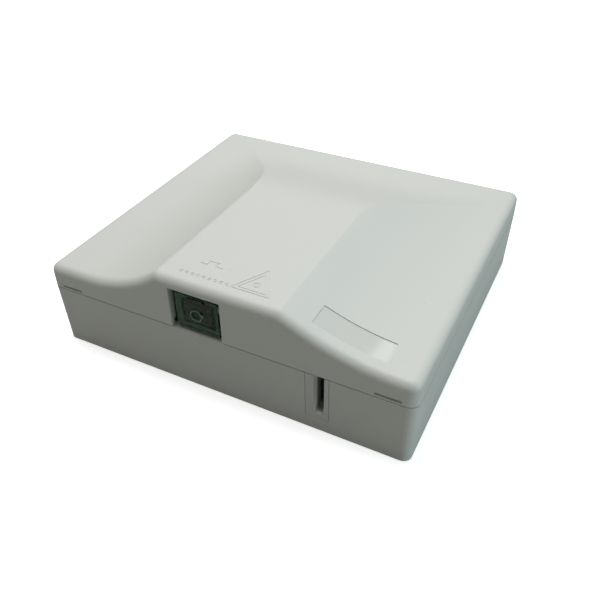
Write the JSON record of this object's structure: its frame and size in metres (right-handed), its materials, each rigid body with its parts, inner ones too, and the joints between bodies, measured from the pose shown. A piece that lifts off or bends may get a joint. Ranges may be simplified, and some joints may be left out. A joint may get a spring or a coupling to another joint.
{
  "type": "optical network terminal",
  "caption": "Wall-mounted fibre termination box with a hinged cover, finger grips beside a raised ridge, a capped socket window, a cable entry slot and an organiser deck inside.",
  "frame": {"origin": "centre of the underside, on the mounting face", "axes": "+X along the front wall towards the cable entry, +Y from the front wall to the hinged rear wall, +Z from the mounting face out through the ridge"},
  "size_m": [0.1, 0.091, 0.032],
  "materials": {
    "housing_white": "fine matte moulding texture",
    "insert_white": "fine matte moulding texture",
    "deck_white": "satin moulded",
    "adapter_green": "satin moulded",
    "holder_green": "satin moulded",
    "sleeve_ceramic": "polished ceramic",
    "clip_steel": "spring steel strip",
    "cap_clear": "smoke clear moulded plastic",
    "plug_green": "satin moulded",
    "plug_white": "satin moulded",
    "ferrule_ceramic": "polished ceramic",
    "nickel": "nickel plated",
    "spring_steel": "drawn wire",
    "backbone_brass": "turned and plated",
    "boot_green": "flexible moulding",
    "fibre_white": "extruded jacket",
    "splice_clear": "heat shrunk tube",
    "screw_zinc": "zinc plated"
  },
  "bodies": {
    "base": {"base_shell": "housing_white", "cable_entry_insert": "insert_white", "organiser_deck": "deck_white", "adapter_front_body": "adapter_green", "adapter_rear_body": "adapter_green", "sleeve_holder_front": "holder_green", "sleeve_holder_rear": "holder_green", "alignment_sleeve": "sleeve_ceramic", "adapter_clip": "clip_steel", "plug_body": "plug_white", "ferrule": "ferrule_ceramic", "ferrule_holder": "nickel", "plug_spring": "spring_steel", "plug_backbone": "backbone_brass", "crimp_sleeve": "nickel", "plug_boot": "boot_green", "pigtail_fibre": "fibre_white", "splice_protectors": "splice_clear", "cable_clamp": "deck_white", "deck_screws": "screw_zinc", "clamp_screws": "screw_zinc"},
    "cover": {"cover_shell": "housing_white"},
    "cap": {"dust_cap": "cap_clear"},
    "plug_grip_slide": {"plug_grip": "plug_green"}
  },
  "joints": [
    {"name": "cover_hinge", "type": "hinge", "parent": "base", "child": "cover", "pos_m": [0, 0.0455, 0.0176], "axis": [-1, 0, 0], "range_deg": [0, 92]},
    {"name": "dust_cap_pull", "type": "slide", "parent": "base", "child": "cap", "axis": [0, -1, 0], "range_m": [0, 0.02]},
    {"name": "plug_release", "type": "slide", "parent": "base", "child": "plug_grip_slide", "axis": [0, 1, 0], "range_m": [0, 0.0018]}
  ]
}
